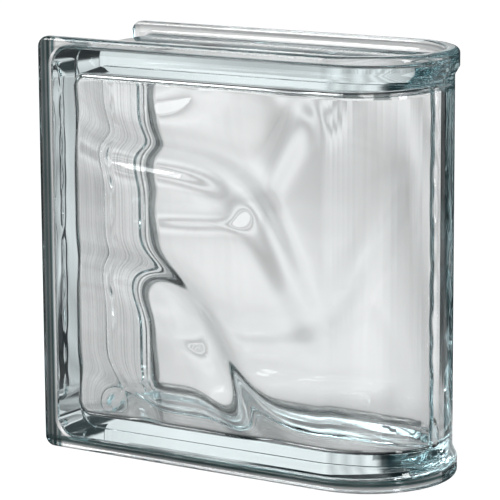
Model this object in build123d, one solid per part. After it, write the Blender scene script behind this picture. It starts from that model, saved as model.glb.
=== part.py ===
from build123d import *
import os
from math import cos, pi, radians, sin, tan

# Hollow glass building block with one rounded end, in millimetres.
# Two pressed dishes are fused at mid-depth into one piece with a sealed hollow.
# Frame: origin at the middle of the underside, +X towards the rounded end,
# -Y towards the front face, +Z up.

# Outside of the block
block_width = 190.0
block_height = 190.0
block_depth = 80.0
corner_radius = 5.0
edge_radius = 2.5

# Rounded end: a rim at the top and the foot stands proud of the end face
rim_height = 8.0
rim_taper = 4.0
rim_proud = 2.8

# Mortar channel between the two flanges, along the foot, the left side and the top
flange_width = 6.5
flange_inner_radius = 2.0
channel_depth = 5.5
channel_root_radius = 3.0
channel_corner_radius = 9.0

# Sealed hollow, widest beside the seam
side_wall = 9.0
face_wall = 9.5
end_wall = 9.5
hollow_draft = 2.5
hollow_corner_radius = 7.0
hollow_edge_radius = 3.5

# Bead of glass where the two dishes are fused, inside and outside
bead_inside = 1.0
bead_outside = 0.6
bead_slope = 50.0

# Waves pressed into the inner side of both faces, fading out at the rounded end
wave_height = 1.5
wave_length = 62.0
wave_tilt = 33.0
wave_sharpness = 2
wave_swing = 0.5
wave_swing_length = 95.0
wave_phase = -1.5
wave_fade = 50.0
wave_point_pitch = 10.0

left = -block_width / 2
half_depth = block_depth / 2
mouth_half = half_depth - flange_width
end_centre = block_width / 2 - half_depth
mid_height = block_height / 2
waist_reach = half_depth - rim_proud
core_left = left + channel_depth
core_height = block_height - 2 * channel_depth
inner_half = half_depth - face_wall
inner_reach = half_depth - end_wall
hollow_left = core_left + side_wall
hollow_height = core_height - 2 * side_wall
overrun = 5.0
touch = 0.01

def plan(half, reach, start):
    """Plan outline from the left side to a half circle or half ellipse at the rounded end."""
    with BuildSketch() as sketch:
        with BuildLine():
            Polyline((end_centre, half), (start, half), (start, -half), (end_centre, -half))
            if half == reach:
                CenterArc((end_centre, 0), half, start_angle=-90, arc_size=180)
            else:
                EllipticalCenterArc((end_centre, 0), reach, half, start_angle=-90, arc_size=180)
        make_face()
    return sketch.sketch

def seam_profile(start, end, height, radius):
    """Upright rectangle in the plane of the seam with both left corners rounded."""
    seam = Plane(origin=(0, 0, mid_height), x_dir=(1, 0, 0), z_dir=(0, -1, 0))
    profile = Pos((start + end) / 2, 0) * Rectangle(end - start, height)
    corners = profile.vertices().group_by(Axis.X)[0]
    return seam * fillet(corners, radius)

def both_halves(front):
    """The back half is the front half turned half round the level axis of the seam."""
    return front + front.rotate(Axis((0, 0, mid_height), (1, 0, 0)), 180)

def outer_body():
    """Block without its channels: rims above and below a slightly shorter end face."""
    rim = plan(half_depth, half_depth, left)
    waist = plan(half_depth, waist_reach, left)
    waist_foot = rim_height + rim_taper
    waist_top = block_height - waist_foot
    body = extrude(rim, rim_height)
    body += loft([Pos(0, 0, rim_height) * rim, Pos(0, 0, waist_foot) * waist], ruled=True)
    body += extrude(Pos(0, 0, waist_foot) * waist, waist_top - waist_foot)
    body += loft([Pos(0, 0, waist_top) * waist, Pos(0, 0, block_height - rim_height) * rim], ruled=True)
    body += extrude(Pos(0, 0, block_height - rim_height) * rim, rim_height)
    corners = body.edges().filter_by(Axis.Y).group_by(Axis.X)[0]
    body = fillet(corners, corner_radius).solid()
    return body.fillet(edge_radius, [edge for edge in body.edges() if on_outline(edge)])

def on_outline(edge):
    """Edge on the outer surface of the foot, the left side, the top or their corners."""
    box = edge.bounding_box()
    level = box.size.Z < touch and (box.min.Z < touch or box.max.Z > block_height - touch)
    at_left = box.min.X < left + touch
    crossing = edge.geom_type == GeomType.LINE and box.size.Y > touch
    return (level or at_left) and not crossing

def on_flange_wall(edge):
    """Edge on the inner wall of a flange, tested at its ends and its middle."""
    for point in (edge @ 0, edge @ 0.5, edge @ 1):
        beyond = max(0, point.X - end_centre)
        if abs((beyond ** 2 + point.Y ** 2) ** 0.5 - mouth_half) > touch:
            return False
    return True

def joins_wall_pieces(edge):
    """Upright line where the flat part of a flange wall runs into its rounded part."""
    return edge.geom_type == GeomType.LINE and abs(edge.center().X - end_centre) < touch

def cut_channel(body):
    """Groove between the flanges, closed at the rounded end, with rounded lips and roots."""
    past = extrude(Pos(0, 0, -overrun) * plan(mouth_half, mouth_half, left - overrun),
                   block_height + 2 * overrun)
    end = end_centre + half_depth + overrun
    profile = seam_profile(core_left, end, core_height, channel_corner_radius)
    core = extrude(profile, half_depth, both=True)
    body = (body - (past - core)).solid()
    lips = [edge for edge in body.edges() if on_flange_wall(edge) and on_outline(edge)]
    body = body.fillet(flange_inner_radius, lips)
    roots = [edge for edge in body.edges() if on_flange_wall(edge) and not joins_wall_pieces(edge)]
    roots = [edge for edge in roots if edge.center().X > core_left - touch]
    roots = [edge for edge in roots if abs(edge.center().Z - mid_height) < core_height / 2 + touch]
    return body.fillet(channel_root_radius, roots)

def outside_bead():
    """Low ridge of the seam, proud of the channel floors and of the end face."""
    end = end_centre + waist_reach + bead_outside
    height = core_height + 2 * bead_outside
    profile = seam_profile(core_left - bead_outside, end, height, channel_corner_radius)
    return both_halves(extrude(profile, 2 * bead_outside, taper=bead_slope))

def wave(x, z):
    """Height of the pressed wave at a point of the face: ridges that swing as they run."""
    along = x * cos(radians(wave_tilt)) + (z - mid_height) * sin(radians(wave_tilt))
    across = (z - mid_height) * cos(radians(wave_tilt)) - x * sin(radians(wave_tilt))
    swing = wave_swing * sin(2 * pi * across / wave_swing_length)
    fade = min(1, max(0, (end_centre + inner_reach / 2 - x) / wave_fade))
    smooth = fade * fade * (3 - 2 * fade)
    crest = ((1 + sin(2 * pi * along / wave_length + swing + wave_phase)) / 2) ** wave_sharpness
    return smooth * wave_height * (2 * crest - 1)

def wavy_sheet():
    """Inner side of the front face, carried round the end to just past the seam."""
    start = hollow_left - overrun
    straight = round((end_centre - start) / wave_point_pitch)
    curved = round(pi / 2 * inner_reach / wave_point_pitch) + 1
    rows = round((hollow_height + 2 * overrun) / wave_point_pitch)
    row_pitch = (hollow_height + 2 * overrun) / rows
    points = []
    for column in range(straight + curved + 1):
        line = []
        for row in range(rows + 1):
            z = mid_height - hollow_height / 2 - overrun + row * row_pitch
            turn = max(0, column - straight) * wave_point_pitch / inner_reach
            x = min(start + column * (end_centre - start) / straight, end_centre)
            x += inner_reach * sin(turn)
            line.append((x, (wave(x, z) - inner_half) * cos(turn), z))
        points.append(line)
    return Face.make_surface_from_array_of_points(points, tol=0.01, min_deg=3, max_deg=3)

def half_hollow():
    """Front half of the hollow, from the seam to the wavy inner face."""
    end = end_centre + inner_reach + overrun
    profile = seam_profile(hollow_left, end, hollow_height, hollow_corner_radius)
    half = extrude(profile, half_depth, taper=hollow_draft)
    pieces = split(half, bisect_by=wavy_sheet(), keep=Keep.BOTH)
    half = pieces.solids().sort_by(Axis.Y)[-1]
    deepest = inner_half - 2 * wave_height
    face_rim = [edge for edge in half.edges() if edge.bounding_box().min.Y < -deepest]
    face_rim = [edge for edge in face_rim if (edge @ 0.5).Y < -deepest or edge.center().X > end_centre]
    return half.fillet(hollow_edge_radius, face_rim)

def inside_bead():
    """Ring of the seam that stands a little into the hollow."""
    start = hollow_left + bead_inside
    end = end_centre + inner_reach - bead_inside
    height = hollow_height - 2 * bead_inside
    bead_half = bead_inside / tan(radians(bead_slope))
    throat = seam_profile(start, end, height, hollow_corner_radius - bead_inside)
    front = extrude(throat, bead_half, taper=-bead_slope)
    band = Pos(0, 0, mid_height) * Box(block_width, 2 * bead_half, block_height)
    return band - both_halves(front)

def glass_block():
    """Whole block: outside with its channels and seam, less the sealed hollow."""
    body = cut_channel(outer_body()) + outside_bead()
    hollow = both_halves(half_hollow()) - inside_bead()
    return (body - hollow).solid()

os.makedirs("parts", exist_ok=True)
block = glass_block()
export_step(block, "parts/glass_block.step")
print("glass block volume", round(block.volume / 1000), "cubic centimetres")
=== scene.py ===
# %% [markdown]
# # A hollow glass block with a rounded end
# The block closes the free end of a glass wall. It is 190 mm square and 80 mm thick, pressed as two
# dishes and fused along the middle. Here it is modelled in edit mode, dressed in clear glass and set in a
# small studio. The CAD model gives the size and the place, so the first cell loads it and measures it.

# %% Load the frame
from math import cos, exp, pi, radians, sin, sqrt, tan

import bmesh
import bpy
from mathutils import Matrix, Vector


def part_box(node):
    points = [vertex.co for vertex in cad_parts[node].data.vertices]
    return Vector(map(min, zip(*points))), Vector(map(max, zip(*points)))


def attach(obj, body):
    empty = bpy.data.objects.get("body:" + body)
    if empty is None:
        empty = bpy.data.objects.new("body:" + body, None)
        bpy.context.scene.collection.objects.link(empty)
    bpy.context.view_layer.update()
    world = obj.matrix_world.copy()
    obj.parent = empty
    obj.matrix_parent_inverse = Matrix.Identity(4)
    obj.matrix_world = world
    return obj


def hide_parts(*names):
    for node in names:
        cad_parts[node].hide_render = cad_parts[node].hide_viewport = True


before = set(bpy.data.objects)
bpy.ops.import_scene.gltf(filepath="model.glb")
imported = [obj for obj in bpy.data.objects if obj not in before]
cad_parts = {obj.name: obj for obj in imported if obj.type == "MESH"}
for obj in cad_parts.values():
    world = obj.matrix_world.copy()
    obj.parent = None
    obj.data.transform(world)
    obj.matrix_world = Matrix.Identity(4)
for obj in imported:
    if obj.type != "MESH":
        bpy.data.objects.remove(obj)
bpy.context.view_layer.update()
low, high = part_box("glass_block")
mm = 0.001

# %% Overall sizes
depth = high.y - low.y
height = high.z - low.z
half_depth = depth / 2
mid_height = low.z + height / 2
end_centre = high.x - half_depth
print("rounded end of", round(half_depth / mm, 1), "mm radius, centred at x", round(end_centre / mm, 1), "mm")

# %% [markdown]
# ## Selecting by place
# In the window a modeller clicks the faces that an operator should act on. A script has no mouse, so it
# picks them by a test on their place or direction. Index numbers would be shorter to write, but they
# change with every cut, so a test on the place is safer.


# %% Start and end of edit mode
def begin(piece):
    """Edit one piece alone, with nothing selected."""
    if bpy.context.object and bpy.context.object.mode == "EDIT":
        bpy.ops.object.mode_set(mode="OBJECT")
    bpy.ops.object.select_all(action="DESELECT")
    piece.select_set(True)
    bpy.context.view_layer.objects.active = piece
    bpy.ops.object.mode_set(mode="EDIT")
    bpy.ops.mesh.select_all(action="DESELECT")


def done():
    """Back to object mode, which writes the edits into the piece."""
    bpy.ops.object.mode_set(mode="OBJECT")


# %% Picking faces, edges and corners
def pick(kind, test):
    """Select the faces, edges or verts of the edited piece that pass a test, and count them."""
    bpy.ops.mesh.select_all(action="DESELECT")
    bpy.context.tool_settings.mesh_select_mode = (kind == "verts", kind == "edges", kind == "faces")
    mesh = bmesh.from_edit_mesh(bpy.context.object.data)
    count = 0
    for item in getattr(mesh, kind):
        if test(item):
            item.select_set(True)
            count += 1
    mesh.select_flush_mode()
    bmesh.update_edit_mesh(bpy.context.object.data)
    return count


def middle(item):
    """Middle of a face or an edge."""
    return sum((v.co for v in item.verts), Vector()) / len(item.verts)


def near(a, b, within=0.02 * mm):
    """Whether two measures agree."""
    return abs(a - b) < within


# %% [markdown]
# ## Plan outline
# Seen from above, the block is a bar with one end rounded to a half circle. The outside and the hollow
# both have that plan. It could be drawn as a curve, but a circle primitive that is cut in half and drawn
# out to the left gives clean points that extrude well, so one function makes both outlines.

# %% Half circle with straight sides
circle_points = 96


def plan_outline(name, end_reach, half, start):
    """Half of a circle primitive, drawn out to the left and filled."""
    bpy.ops.object.select_all(action="DESELECT")
    bpy.ops.mesh.primitive_circle_add(vertices=circle_points, radius=1, location=(end_centre, 0, 0))
    piece = bpy.context.object
    piece.name = name
    piece.scale = (end_reach, half, 1)
    bpy.ops.object.transform_apply(location=True, rotation=False, scale=True)
    begin(piece)
    bpy.ops.mesh.select_all(action="SELECT")
    bpy.ops.mesh.bisect(plane_co=(end_centre, 0, 0), plane_no=(1, 0, 0), clear_inner=True)
    ends = pick("verts", lambda v: len(v.link_edges) == 1)
    bpy.ops.mesh.extrude_region_move(TRANSFORM_OT_translate={"value": (-1, 0, 0)})
    mesh = bmesh.from_edit_mesh(piece.data)
    for v in mesh.verts:
        if v.select:
            v.co.x = start
    bmesh.update_edit_mesh(piece.data)
    bpy.ops.mesh.edge_face_add()
    bpy.ops.mesh.select_all(action="SELECT")
    bpy.ops.mesh.edge_face_add()
    bpy.ops.mesh.normals_make_consistent(inside=False)
    print(name, "plan from", ends, "ends and", len(bmesh.from_edit_mesh(piece.data).verts), "points")
    return piece


# %% [markdown]
# ## Outside
# At the rounded end a rim stands proud of the glass at the foot and at the top, with a short taper
# between. Spinning a profile would give the end alone. Extruding the plan upwards in five steps, and
# drawing the end in by a few percent on two of them, gives the end and the straight sides together.

# %% Stack of five extrusions
rim_height = 8 * mm
rim_taper = 4 * mm
rim_proud = 2.8 * mm

outer = plan_outline("glass_outside", half_depth, half_depth, low.x)
bpy.ops.transform.translate(value=(0, 0, low.z))
waist = (half_depth - rim_proud) / half_depth
waist_height = height - 2 * (rim_height + rim_taper)
steps = [rim_height, rim_taper, waist_height, rim_taper, rim_height]
squeeze = [1, waist, 1, 1 / waist, 1]
for step, factor in zip(steps, squeeze):
    bpy.ops.mesh.extrude_region_move(TRANSFORM_OT_translate={"value": (0, 0, step)})
    mesh = bmesh.from_edit_mesh(outer.data)
    for v in mesh.verts:
        if v.select and v.co.x > end_centre:
            v.co.x = end_centre + (v.co.x - end_centre) * factor
    bmesh.update_edit_mesh(outer.data)
print("waist drawn in to", round(waist, 3), "of the rim's reach")

# %% [markdown]
# The straight sides are now cut into strips that the rim steps left behind. Dissolving them gives one
# flat face a side, and a bevel runs cleanly along one flat face, where it would fold at every strip.

# %% Merge the flat strips
flat_within = radians(1)
bpy.ops.mesh.select_all(action="SELECT")
bpy.ops.mesh.normals_make_consistent(inside=False)
bpy.ops.mesh.dissolve_limited(angle_limit=flat_within)
print("outside so far", len(bmesh.from_edit_mesh(outer.data).faces), "faces")

# %% [markdown]
# ## Mortar channel
# Along the foot, the left side and the top a channel lies between two flanges, and mortar and a steel bar
# fill it in the wall. A Boolean cut would leave thin slivers. An inset by the width of a flange, and a
# second one that only goes inwards, make the lips, the walls and the floor as clean faces.

# %% Inset and push in
flange_width = 6.5 * mm
channel_depth = 5.5 * mm
mouth_half = half_depth - flange_width


def on_channel_side(face):
    """Face of the left side, the foot or the top."""
    c = middle(face)
    level = abs(face.normal.z) > 0.99 and (near(c.z, low.z) or near(c.z, high.z))
    return near(c.x, low.x) or level


print("channel faces", pick("faces", on_channel_side))
bpy.ops.mesh.inset(thickness=flange_width, use_even_offset=True)
bpy.ops.mesh.inset(thickness=0, depth=-channel_depth, use_even_offset=True)


# %% Merge the straight pieces of the flange walls
def on_straight_wall(face):
    """Flat part of a flange's inner wall."""
    return abs(face.normal.y) > 0.999 and near(abs(middle(face).y), mouth_half)


print("flange wall pieces", pick("faces", on_straight_wall))
bpy.ops.mesh.dissolve_limited(angle_limit=flat_within)

# %% [markdown]
# ## Rounded corners
# Pressed glass has no sharp corner, because the mould is rounded so that the glass fills it and comes
# out. The two corners of the channel floor and the four corners of the flanges are rounded first. Edges
# that run round a corner are rounded after it, so that they follow it.

# %% Corners of the channel floor and the flanges
channel_corner_radius = 9 * mm
corner_radius = 5 * mm


def core_corner(edge):
    """Level edge where two channel floors meet."""
    a, b = (v.co for v in edge.verts)
    at_end = near(a.z, low.z + channel_depth) or near(a.z, high.z - channel_depth)
    return near(a.x, low.x + channel_depth) and near(b.x, a.x) and near(a.z, b.z) and at_end


def flange_corner(edge):
    """Short edge across the corner of a flange."""
    a, b = (v.co for v in edge.verts)
    at_left = near(a.x, low.x) and near(b.x, low.x)
    at_end = near(a.z, b.z) and (near(a.z, low.z) or near(a.z, high.z))
    return at_left and at_end and abs(a.y - b.y) < depth / 2


print("core corners", pick("edges", core_corner))
bpy.ops.mesh.bevel(offset=channel_corner_radius, segments=12, affect="EDGES")
print("flange corners", pick("edges", flange_corner))
bpy.ops.mesh.bevel(offset=corner_radius, segments=8, affect="EDGES")

# %% [markdown]
# ## Rounded edges
# The long edges catch most of the light in clear glass, and their radius sets how wide each bright or
# dark line is. A Bevel modifier would give all of them one radius. The outer edges, the lips and the
# roots of the channel have their own, so each set is picked by its distance from the middle plane and
# bevelled by itself.

# %% Finding the long edges
sharp_from = radians(25)


def is_sharp(edge):
    """Edge with a clear angle between its two faces."""
    return len(edge.link_faces) == 2 and edge.calc_face_angle() > sharp_from


def from_middle(point):
    """Distance from the middle plane, or from the middle of the rounded end."""
    return sqrt(point.y ** 2 + max(0, point.x - end_centre) ** 2)


def sharp_at(distance, deep):
    """Test for sharp edges at a distance from the middle, on the outer surface or down in the channel."""
    def test(edge):
        c = middle(edge)
        inside = min(c.z - low.z, high.z - c.z, c.x - low.x) > channel_depth / 2
        return is_sharp(edge) and near(from_middle(c), distance, 0.5 * mm) and inside == deep
    return test


# %% Rounding the long edges
edge_radius = 2.5 * mm
flange_inner_radius = 2 * mm
channel_root_radius = 3 * mm

print("outer edges", pick("edges", sharp_at(half_depth, False)))
bpy.ops.mesh.bevel(offset=edge_radius, segments=6, affect="EDGES")
print("lips", pick("edges", sharp_at(mouth_half, False)))
bpy.ops.mesh.bevel(offset=flange_inner_radius, segments=5, affect="EDGES")
print("roots", pick("edges", sharp_at(mouth_half, True)))
bpy.ops.mesh.bevel(offset=channel_root_radius, segments=6, affect="EDGES")
merge_within = 0.005 * mm
bpy.ops.mesh.select_all(action="SELECT")
bpy.ops.mesh.remove_doubles(threshold=merge_within)

# %% [markdown]
# ## Seam outside
# Where the two hot dishes are pressed together, a low bead of glass swells out all round. It could be a
# thin strip laid on the block, but then its underside would show through the glass. Bisect cuts a few
# lines beside the middle plane, and the points on it are pushed out, so the bead is part of the same
# skin.


# %% Cut lines and push the bead out
def cut_at(places, normal):
    """Cut the whole piece by planes at some places along one direction."""
    for place in places:
        bpy.ops.mesh.select_all(action="SELECT")
        bpy.ops.mesh.bisect(plane_co=Vector(normal) * place, plane_no=normal)


bead_outside = 0.6 * mm
bead_slope = radians(50)
bead_share = 0.8
outer_bead = bead_outside / tan(bead_slope)
cut_at([share * outer_bead for share in (-4, -1, -0.25, 0.25, 1, 4)], (0, 1, 0))
mesh = bmesh.from_edit_mesh(outer.data)
mesh.normal_update()
for v in mesh.verts:
    from_ends = min(v.co.z - low.z, high.z - v.co.z)
    on_end = v.co.x > end_centre and from_ends > rim_height + rim_taper + 1 * mm
    on_floor = from_ends > channel_depth - 0.1 * mm and from_middle(v.co) < mouth_half
    if (on_floor or on_end) and abs(v.co.y) < outer_bead / 2:
        v.co += v.normal * bead_outside * bead_share
bmesh.update_edit_mesh(outer.data)
done()
print("outside", len(outer.data.polygons), "faces")

# %% [markdown]
# ## Hollow
# The block holds a sealed hollow with walls of about 9 mm. Most of what the photograph shows is the far
# and near sides of that hollow, seen through glass, so it needs its own true skin. It starts from the
# same plan, drawn smaller, and its corners and edges are rounded like the outside.

# %% Hollow body
side_wall = 9 * mm
face_wall = 9.5 * mm
end_wall = 9.5 * mm
face_y = half_depth - face_wall
end_reach = half_depth - end_wall
hollow_foot = channel_depth + side_wall
hollow_left = low.x + hollow_foot
hollow_height = height - 2 * hollow_foot
hollow = plan_outline("glass_hollow", end_reach, face_y, hollow_left)
bpy.ops.transform.translate(value=(0, 0, low.z + hollow_foot))
bpy.ops.mesh.extrude_region_move(TRANSFORM_OT_translate={"value": (0, 0, hollow_height)})
bpy.ops.mesh.select_all(action="SELECT")
bpy.ops.mesh.normals_make_consistent(inside=False)
print("hollow", round(2 * face_y / mm, 1), "mm deep and", round(hollow_height / mm, 1), "mm high")

# %% Corners and edges of the hollow
hollow_corner_radius = 7 * mm
hollow_edge_radius = 3.5 * mm


def hollow_corner(edge):
    """Long edge across the hollow at its left side."""
    a, b = (v.co for v in edge.verts)
    return near(a.x, hollow_left) and near(b.x, hollow_left) and abs(a.y - b.y) > depth / 2


print("hollow corners", pick("edges", hollow_corner))
bpy.ops.mesh.bevel(offset=hollow_corner_radius, segments=12, affect="EDGES")
print("hollow edges", pick("edges", is_sharp))
bpy.ops.mesh.bevel(offset=hollow_edge_radius, segments=8, affect="EDGES")
bpy.ops.mesh.select_all(action="SELECT")
bpy.ops.mesh.remove_doubles(threshold=merge_within)

# %% [markdown]
# The waves and the seam need points to move. Subdividing would spread points over the small rounded edges
# too, where they are not needed. Planes of bisect cuts put them where the surface bends: 2 mm apart along
# the faces, 4 mm apart through the depth, and closer beside the seam.

# %% Fine net of cuts
pitch = 2 * mm
seam_zone = 3.5 * mm
bead_inside = 1.0 * mm
inner_bead = bead_inside / tan(bead_slope)


def evenly(start, stop, gap):
    """Places between two ends, about one gap apart."""
    count = int((stop - start) / gap)
    return [start + i * (stop - start) / count for i in range(1, count)]


cut_at(evenly(hollow_left, end_centre + end_reach, pitch), (1, 0, 0))
cut_at(evenly(low.z + hollow_foot, high.z - hollow_foot, pitch), (0, 0, 1))
cut_at(evenly(-face_y, -seam_zone, 2 * pitch), (0, 1, 0))
cut_at(evenly(seam_zone, face_y, 2 * pitch), (0, 1, 0))
beside_seam = [inner_bead / 4, inner_bead, 2 * mm, seam_zone]
cut_at([-place for place in reversed(beside_seam)] + beside_seam, (0, 1, 0))
print("net of", len(bmesh.from_edit_mesh(hollow.data).verts), "points")

# %% [markdown]
# ## Seam inside
# The fused rims also swell into the hollow. Nothing shapes them there, so in the photograph this band
# wobbles like melted glass. A swell that falls off quickly beside the middle plane, with slow ripples of
# uneven length along it, gives that band. Random numbers would do as well, but they need a seed to come
# out the same at each run.


# %% Wobbling bead inside
def uneven(place, short, long, offset):
    """Product of two ripples of different lengths."""
    return sin(place / short) * sin(place / long + offset)


bead_width = 1.5 * mm
mesh = bmesh.from_edit_mesh(hollow.data)
mesh.normal_update()
widest = 0
for v in mesh.verts:
    if abs(v.co.y) < 3 * mm:
        ripple = uneven(v.co.z, 4.1 * mm, 7.3 * mm, 1) + uneven(v.co.x, 4.7 * mm, 8.1 * mm, 2)
        swell = bead_inside * (1 + 0.5 * ripple) * exp(-(v.co.y / bead_width) ** 2)
        widest = max(widest, swell)
        v.co -= v.normal * swell
print("seam swells by up to", round(widest / mm, 2), "mm")

# %% [markdown]
# ## Waves
# The mould presses soft ridges into the inner side of each face. They bend what lies behind the block,
# and hide it. A displacement texture would do for a random pattern. These ridges run askew, swing as they
# go and fade at the rounded end, so a formula of the place moves each point by itself. The back face is
# the front one turned half round, as both come from one mould.

# %% Shape of a ridge
wave_height = 1.3 * mm
wave_length = 62 * mm
wave_tilt = radians(58)
wave_sharpness = 4
wave_swing = 1.4
wave_swing_length = 158 * mm
wave_swing_phase = -2.1
wave_phase = -0.42
wave_fade = 50 * mm


def wave(x, z):
    """How far the glass stands into the hollow at a point of the front face."""
    rise = z - mid_height
    along = x * cos(wave_tilt) + rise * sin(wave_tilt)
    across = rise * cos(wave_tilt) - x * sin(wave_tilt)
    swing = wave_swing * sin(2 * pi * across / wave_swing_length + wave_swing_phase)
    fade = min(1, max(0, (end_centre + end_reach / 2 - x) / wave_fade))
    smooth = fade * fade * (3 - 2 * fade)
    crest = ((1 + sin(2 * pi * along / wave_length + swing + wave_phase)) / 2) ** wave_sharpness
    return smooth * wave_height * (2 * crest - 1)


# %% [markdown]
# The plunger that shapes the inside has to come out again, so the hollow narrows a little towards each
# face. The same pass over the points gives this draft. The skin of a hollow faces into it, so it is
# turned inside out at the end.

# %% Waves and draft
hollow_draft = radians(2.5)
half_rise = mid_height - low.z - hollow_foot
for v in mesh.verts:
    x, y, z = v.co
    lift = wave(x, z) if y < 0 else wave(x, 2 * mid_height - z)
    pull = abs(y) * tan(hollow_draft)
    v.co.y = y * (face_y - lift) / face_y
    v.co.z = mid_height + (z - mid_height) * (1 - pull / half_rise)
    v.co.x = x + pull * max(0, (end_centre - x)) / (end_centre - hollow_left)
bmesh.update_edit_mesh(hollow.data)
bpy.ops.mesh.select_all(action="SELECT")
bpy.ops.mesh.flip_normals()
done()
print("hollow", len(hollow.data.polygons), "faces")

# %% [markdown]
# ## One piece of glass
# Both skins belong to one solid, and light has to pass from one to the other inside it, so they are
# joined into one piece. Weighted normals keep the large flat faces flat beside their rounded edges. Plain
# smooth shading would bend the reflections there.

# %% Join and shade
bpy.ops.object.select_all(action="DESELECT")
hollow.select_set(True)
outer.select_set(True)
bpy.context.view_layer.objects.active = outer
bpy.ops.object.join()
block = outer
block.name = "glass_block_clear"
bpy.ops.object.shade_smooth()
shade = block.modifiers.new("Even faces", "WEIGHTED_NORMAL")
shade.keep_sharp = True
shade.weight = 60
bpy.ops.object.modifier_apply(modifier=shade.name)
print("block", len(block.data.polygons), "faces")

# %% [markdown]
# The finished piece takes the place of the CAD node and rides on its body.

# %% Put the piece in the frame
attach(block, "root")
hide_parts("glass_block")
print(block.name, "stands for glass_block")

# %% [markdown]
# ## Clear glass
# Fire-polished soda glass is smooth and bends light with an index of 1.52. The iron in it takes out a
# little red, which shows only where light runs a long way through it. So the colour is an absorption
# inside the piece and grows with the length of the path. A colour on the surface alone would tint thin
# and thick glass alike.

# %% Glass material
glass = bpy.data.materials.new("clear pressed glass")
glass.use_nodes = True
glass_tree = glass.node_tree
shader = glass_tree.nodes["Principled BSDF"]
shader.inputs["Roughness"].default_value = 0.0
shader.inputs["IOR"].default_value = 1.52
shader.inputs["Transmission Weight"].default_value = 1.0
tint = glass_tree.nodes.new("ShaderNodeVolumeAbsorption")
tint.inputs["Color"].default_value = (0.60, 0.84, 0.88, 1)
tint.inputs["Density"].default_value = 5.0
glass_tree.links.new(tint.outputs["Volume"], glass_tree.nodes["Material Output"].inputs["Volume"])
block.data.materials.clear()
block.data.materials.append(glass)
print("glass with index", round(shader.inputs["IOR"].default_value, 2))

# %% [markdown]
# ## Sums and ramps between nodes
# The patterns below depend on places: how far a point is from a rim, or which way a ray runs. Each is a
# chain of small nodes, and three helpers keep those chains short.


# %% Node helpers
def maths(tree, operation, first, second=None):
    """One sum of sockets or plain numbers."""
    node = tree.nodes.new("ShaderNodeMath")
    node.operation = operation
    for socket, value in zip(node.inputs, (first, second)):
        if value is None:
            continue
        if isinstance(value, (int, float)):
            socket.default_value = value
        else:
            tree.links.new(value, socket)
    return node.outputs[0]


def ramp(tree, value, stops):
    """Brightness that follows a value through stops, each a place and a brightness."""
    node = tree.nodes.new("ShaderNodeValToRGB")
    items = node.color_ramp.elements
    while len(items) < len(stops):
        items.new(0.5)
    for item, (place, brightness) in zip(items, stops):
        item.position = place
        item.color = (brightness, brightness, brightness, 1)
    tree.links.new(value, node.inputs["Fac"])
    return node.outputs["Color"]


def blend(tree, share, first, second):
    """Colour between two colours: a share of 0 gives the first one, and 1 the second."""
    node = tree.nodes.new("ShaderNodeMix")
    node.data_type = "RGBA"
    share_in, first_in, second_in = (node.inputs[i] for i in (0, 6, 7))
    tree.links.new(share, share_in)
    for socket, colour in ((first_in, first), (second_in, second)):
        if isinstance(colour, tuple):
            socket.default_value = colour
        else:
            tree.links.new(colour, socket)
    return node.outputs[2]


# %% [markdown]
# ## Painted shade along the rims
# Fine near-black lines run along the front rims, where light is caught between the flange's two sides.
# The light paths of the model alone leave them too pale, so they are painted shade: the glass takes a
# dark blue-green at set distances from the left side, the foot and the top. The back flange stays pale,
# with one soft line of painted shade below its upper edge.

# %% Distances from the sides of the block
place = glass_tree.nodes.new("ShaderNodeTexCoord")
split = glass_tree.nodes.new("ShaderNodeSeparateXYZ")
glass_tree.links.new(place.outputs["Object"], split.inputs[0])
from_left = maths(glass_tree, "SUBTRACT", split.outputs["X"], low.x)
from_foot = maths(glass_tree, "SUBTRACT", split.outputs["Z"], low.z)
from_top = maths(glass_tree, "SUBTRACT", high.z, split.outputs["Z"])
at_back = maths(glass_tree, "GREATER_THAN", split.outputs["Y"], 0)
not_back = maths(glass_tree, "SUBTRACT", 1, at_back)
off_front_flange = maths(glass_tree, "GREATER_THAN", split.outputs["Y"], 0.3 * mm - mouth_half)

# %% Lines of painted shade at set distances
line_band = 10 * mm
left_stops = [(0.0, 0.12), (0.30, 0.14), (0.38, 0.0), (0.46, 0.0), (0.54, 0.2), (0.60, 0.0), (0.70, 0.0),
              (0.78, 0.4), (0.86, 1.0)]
foot_stops = [(0.0, 0.25), (0.09, 0.25), (0.14, 1.0), (0.22, 1.0), (0.30, 0.40), (0.37, 0.0), (0.46, 0.0),
              (0.53, 1.0)]
top_stops = [(0.0, 0.85), (0.20, 1.0), (0.40, 0.95), (0.47, 0.40), (0.53, 1.0)]
back_stops = [(0.0, 0.9), (0.12, 1.0), (0.17, 0.30), (0.28, 0.60), (0.42, 0.90), (0.53, 1.0)]
back_foot_clear = 0.75


def free_of_painted_shade_at(distance, stops):
    """How free of painted shade the glass stays, by distance as a share of the band of lines."""
    return ramp(glass_tree, maths(glass_tree, "DIVIDE", distance, line_band), stops)


back_foot = maths(glass_tree, "MULTIPLY", at_back, back_foot_clear)
# Painted shade lines along the left side, the foot and the top, at the front and at the back.
rims = [maths(glass_tree, "MAXIMUM", off_front_flange, free_of_painted_shade_at(from_left, left_stops)),
        maths(glass_tree, "MAXIMUM", back_foot, free_of_painted_shade_at(from_foot, foot_stops)),
        maths(glass_tree, "MAXIMUM", at_back, free_of_painted_shade_at(from_top, top_stops)),
        maths(glass_tree, "MAXIMUM", not_back, free_of_painted_shade_at(from_top, back_stops))]
print("lines in a band of", round(line_band / mm), "mm on", len(rims), "rims")
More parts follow.
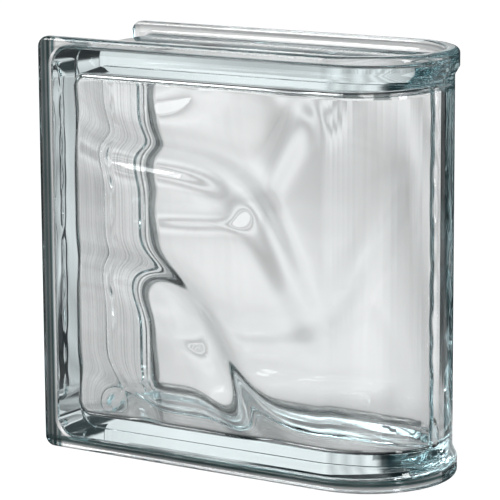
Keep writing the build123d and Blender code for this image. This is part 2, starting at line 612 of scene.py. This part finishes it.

# %% [markdown]
# ## Painted shade in the channel and on the edges of the hollow
# The channel floors are darkened by painted shade in fine streaks along their length. Noise that follows
# the depth alone makes streaks that run that way. The rounded edges of the hollow take painted shade as
# dark lines, in the same dark colour as the rims.

# %% Painted shade in streaks on the channel floors
streaks_per_metre = 260
floor_stops = [(0.50, 1.0), (0.53, 0.0), (0.66, 0.0), (0.70, 1.0)]
streak_stops = [(0.36, 0.55), (0.44, 1.0), (0.50, 0.60), (0.56, 1.0), (0.64, 0.70), (0.70, 1.0)]
nearest = maths(glass_tree, "MINIMUM", maths(glass_tree, "MINIMUM", from_left, from_foot), from_top)
noise = glass_tree.nodes.new("ShaderNodeTexNoise")
noise.noise_dimensions = "1D"
noise.inputs["Scale"].default_value = 1.0
glass_tree.links.new(maths(glass_tree, "MULTIPLY", split.outputs["Y"], streaks_per_metre), noise.inputs["W"])
painted_shade_streaks = ramp(glass_tree, noise.outputs[0], streak_stops)
channel_floor_unshaded = maths(glass_tree, "MAXIMUM", free_of_painted_shade_at(nearest, floor_stops), painted_shade_streaks)
print("streaks about", round(1 / streaks_per_metre / mm, 1), "mm apart")

# %% Painted shade on the rounded edges of the hollow
wall_stops = [(0.04, 1.0), (0.14, 0.10), (0.34, 0.10), (0.42, 1.0)]
deep_stops = [(0.25, 1.0), (0.36, 0.0), (0.80, 0.0), (0.85, 1.0)]
deep_from = 24 * mm
from_wall = maths(glass_tree, "SUBTRACT", nearest, hollow_foot)
deep = maths(glass_tree, "SUBTRACT", maths(glass_tree, "ABSOLUTE", split.outputs["Y"]), deep_from)
hollow_edge_unshaded = maths(glass_tree, "MAXIMUM", free_of_painted_shade_at(from_wall, wall_stops), free_of_painted_shade_at(deep, deep_stops))

# %% [markdown]
# Where several patterns of painted shade meet, the darkest one counts. So the smallest share is taken,
# and it mixes clear glass with the dark colour of the painted shade.

# %% Colour of the glass, with its painted shade
clear = (1, 1, 1, 1)
painted_shade_teal = (0.008, 0.028, 0.030, 1)
unpainted_share = maths(glass_tree, "MINIMUM", channel_floor_unshaded, hollow_edge_unshaded)
for rim in rims:
    unpainted_share = maths(glass_tree, "MINIMUM", unpainted_share, rim)
# The base colour of the glass carries the painted shade of the rims, the channel and the hollow's edges.
colour = blend(glass_tree, unpainted_share, painted_shade_teal, clear)
glass_tree.links.new(colour, shader.inputs["Base Color"])
print("glass material of", len(glass_tree.nodes), "nodes")

# %% [markdown]
# ## Dark cards for the reflections
# Clear glass on white has no outline of its own. Photographers stand black cards beside it, which show in
# the edges as dark lines. Real cards here would also show behind the block. So the floor and the sky turn
# dark only for rays that were mirrored in the glass, square to the block's sides, and stay bright on the
# diagonals.

# %% Cards for mirrored rays
card_stops = [(0.0, 0.35), (0.12, 0.10), (0.24, 0.35), (0.36, 0.0), (0.50, 0.08), (0.62, 0.9), (0.75, 1.0),
              (1.0, 1.0)]
smallest_level = 0.0001


def dark_cards(tree, direction):
    """How dark the studio is for a mirrored ray that comes from a direction, and 0 for any other ray."""
    split = tree.nodes.new("ShaderNodeSeparateXYZ")
    tree.links.new(direction, split.inputs[0])
    x_squared = maths(tree, "POWER", split.outputs["X"], 2)
    y_squared = maths(tree, "POWER", split.outputs["Y"], 2)
    level = maths(tree, "MAXIMUM", maths(tree, "ADD", x_squared, y_squared), smallest_level)
    difference = maths(tree, "ABSOLUTE", maths(tree, "SUBTRACT", y_squared, x_squared))
    cards = ramp(tree, maths(tree, "DIVIDE", difference, level), card_stops)
    path = tree.nodes.new("ShaderNodeLightPath")
    mirrored = maths(tree, "GREATER_THAN", path.outputs["Glossy Depth"], 0.5)
    return maths(tree, "MULTIPLY", mirrored, cards)


# %% [markdown]
# ## Floor
# The block stands on a pale studio floor, with a white background. A floor that is only lit would need
# strong lamps to look white, and they would wash the glass out. So it glows a little by itself: white
# where the camera sees it directly. Where it is seen through the glass it glows pale grey, with soft
# wide stripes of painted light and a painted shadow that darkens it close to the block, so that the
# window of the block shows pale grey with soft streaks.

# %% Floor plane
bpy.ops.object.select_all(action="DESELECT")
bpy.ops.mesh.primitive_plane_add(size=12, location=(0, 0, 0))
floor = bpy.context.object
floor.name = "studio_floor"
pale = bpy.data.materials.new("pale floor")
pale.use_nodes = True
floor_tree = pale.node_tree
floor_tree.nodes.clear()
floor.data.materials.append(pale)
print("floor", round(floor.dimensions.x), "m wide")

# %% Grey that follows the distance, darker close to the block as a painted shadow
glow_reach = 2.0
glow_and_painted_shadow_stops = [(0.03, 0.24), (0.07, 0.52), (0.22, 0.55), (0.38, 0.46), (0.6, 0.62)]
floor_place = floor_tree.nodes.new("ShaderNodeTexCoord").outputs["Object"]
far = floor_tree.nodes.new("ShaderNodeVectorMath")
far.operation = "LENGTH"
floor_tree.links.new(floor_place, far.inputs[0])
fall = floor_tree.nodes.new("ShaderNodeMapRange")
fall.inputs["From Min"].default_value = 0.0
fall.inputs["From Max"].default_value = glow_reach
floor_tree.links.new(far.outputs["Value"], fall.inputs["Value"])
glow_with_painted_shadow = ramp(floor_tree, fall.outputs["Result"], glow_and_painted_shadow_stops)

# %% Soft stripes of painted light behind the block
view_turn = radians(32.9)
stripe_slant = 0.12
stripe_pitch = 0.26
stripe_share = 0.24
stripe_x = cos(view_turn) - stripe_slant * sin(view_turn)
stripe_y = sin(view_turn) + stripe_slant * cos(view_turn)
spot = floor_tree.nodes.new("ShaderNodeSeparateXYZ")
floor_tree.links.new(floor_place, spot.inputs[0])
sideways = maths(floor_tree, "ADD", maths(floor_tree, "MULTIPLY", spot.outputs["X"], stripe_x),
                 maths(floor_tree, "MULTIPLY", spot.outputs["Y"], stripe_y))
stripe = maths(floor_tree, "SINE", maths(floor_tree, "MULTIPLY", sideways, 2 * pi / stripe_pitch))
glow_with_painted_stripes = floor_tree.nodes.new("ShaderNodeVectorMath")
glow_with_painted_stripes.operation = "SCALE"
floor_tree.links.new(glow_with_painted_shadow, glow_with_painted_stripes.inputs[0])
strength = maths(floor_tree, "ADD", maths(floor_tree, "MULTIPLY", stripe, stripe_share), 1)
floor_tree.links.new(strength, glow_with_painted_stripes.inputs["Scale"])
print("stripes", round(stripe_pitch / mm), "mm apart")

# %% Floor material
floor_white = (0.9, 0.9, 0.9, 1)
floor_grey = (0.3, 0.3, 0.3, 1)
card_black = (0.008, 0.018, 0.021, 1)
floor_path = floor_tree.nodes.new("ShaderNodeLightPath")
glow = floor_tree.nodes.new("ShaderNodeEmission")
glow.inputs["Strength"].default_value = 1.0
# Seen through the glass, the floor's glow carries the painted shadow and the painted light stripes.
seen_floor = blend(floor_tree, floor_path.outputs["Is Camera Ray"], glow_with_painted_stripes.outputs[0], floor_white)
floor_tree.links.new(seen_floor, glow.inputs["Color"])
lit = floor_tree.nodes.new("ShaderNodeBsdfDiffuse")
lit.inputs["Color"].default_value = floor_grey
both = floor_tree.nodes.new("ShaderNodeAddShader")
floor_tree.links.new(lit.outputs[0], both.inputs[0])
floor_tree.links.new(glow.outputs[0], both.inputs[1])
black = floor_tree.nodes.new("ShaderNodeBsdfDiffuse")
black.inputs["Color"].default_value = card_black
choice = floor_tree.nodes.new("ShaderNodeMixShader")
floor_tree.links.new(dark_cards(floor_tree, floor_place), choice.inputs[0])
floor_tree.links.new(both.outputs[0], choice.inputs[1])
floor_tree.links.new(black.outputs[0], choice.inputs[2])
floor_out = floor_tree.nodes.new("ShaderNodeOutputMaterial")
floor_tree.links.new(choice.outputs[0], floor_out.inputs["Surface"])
print("floor material of", len(floor_tree.nodes), "nodes")

# %% [markdown]
# ## Sky
# Round the block the studio is white at eye level and darker overhead, so that the tops of the rims and
# the floors of the channel stand out. The camera itself sees plain white. A sky texture would colour the
# glass.

# %% Sky of the studio
white = (1, 1, 1, 1)
sky_stops = [(0.0, 1.0), (0.30, 1.0), (0.60, 0.30), (0.85, 0.12)]
sky_card = (0.012, 0.026, 0.030, 1)
world = bpy.data.worlds.new("studio")
bpy.context.scene.world = world
world.use_nodes = True
sky_tree = world.node_tree
sky_place = sky_tree.nodes.new("ShaderNodeTexCoord").outputs["Generated"]
sky_split = sky_tree.nodes.new("ShaderNodeSeparateXYZ")
sky_tree.links.new(sky_place, sky_split.inputs[0])
sky_level = ramp(sky_tree, sky_split.outputs["Z"], sky_stops)
carded = blend(sky_tree, dark_cards(sky_tree, sky_place), sky_level, sky_card)
sky_path = sky_tree.nodes.new("ShaderNodeLightPath")
seen_sky = blend(sky_tree, sky_path.outputs["Is Camera Ray"], carded, white)
background = sky_tree.nodes["Background"]
background.inputs["Strength"].default_value = 1.0
sky_tree.links.new(seen_sky, background.inputs["Color"])
print("sky of", len(sky_tree.nodes), "nodes")

# %% [markdown]
# ## Lamps
# A large softbox from the front left and a narrow strip on the right put bright highlights on the rims.
# Small lamps would give hard sparkles, and a stronger light would change the colours, so both are wide
# and weak.


# %% Softbox and strip
def softbox(name, place, size_x, size_y, watts):
    """Rectangular lamp that faces the middle of the block."""
    lamp = bpy.data.lights.new(name, "AREA")
    lamp.shape = "RECTANGLE"
    lamp.size = size_x
    lamp.size_y = size_y
    lamp.energy = watts
    holder = bpy.data.objects.new(name, lamp)
    bpy.context.scene.collection.objects.link(holder)
    holder.location = place
    aim = Vector((0, 0, mid_height)) - Vector(place)
    holder.rotation_euler = aim.to_track_quat("-Z", "Y").to_euler()
    print(name, "at", round(aim.length, 2), "m")


softbox("key softbox", (-0.9, -0.8, 1.3), 0.8, 0.8, 18)
softbox("side strip", (1.3, -0.2, 0.6), 0.25, 1.2, 10)

# %% [markdown]
# ## Camera
# The camera was found by fitting the corners of the block to the picture: how far it is turned round the
# block, how high it stands, how far away, and how long the lens is. Moving it by eye would never bring
# the four corners of both flanges to their places at once. A shift of the lens moves the picture without
# turning it.

# %% Camera place
azimuth, elevation, roll = radians(32.9), radians(10.82), radians(0.3)
distance = 1.255
back = Vector((sin(azimuth) * cos(elevation), -cos(azimuth) * cos(elevation), sin(elevation)))
eye = Vector((0, 0, mid_height)) + back * distance
print("camera at", [round(v, 3) for v in eye])

# %% Camera lens
lens_pixels = 2790.0
centre_x, centre_y = 262.2, 249.5
image = 500
sensor = 36
camera_data = bpy.data.cameras.new("camera")
camera_data.sensor_width = sensor
camera_data.lens = lens_pixels / image * sensor
camera_data.shift_x = (image / 2 - centre_x) / image
camera_data.shift_y = (centre_y - image / 2) / image
camera = bpy.data.objects.new("camera", camera_data)
bpy.context.scene.collection.objects.link(camera)
camera.location = eye
turn = (-back).to_track_quat("-Z", "Y")
camera.rotation_mode = "QUATERNION"
camera.rotation_quaternion = turn @ Matrix.Rotation(-roll, 4, "Z").to_quaternion()
bpy.context.scene.camera = camera
print("lens of", round(camera_data.lens), "mm")

# %% [markdown]
# ## Bounces
# Light goes through many skins of glass and is mirrored inside the rims again and again. With few bounces
# the path ends early and leaves black patches, so the glass gets forty.

# %% View and bounces
bounces = 40
bpy.context.scene.view_settings.view_transform = "Standard"
bpy.context.scene.cycles.max_bounces = bounces
bpy.context.scene.cycles.transmission_bounces = bounces
bpy.context.scene.cycles.glossy_bounces = bounces
print("up to", bounces, "bounces")
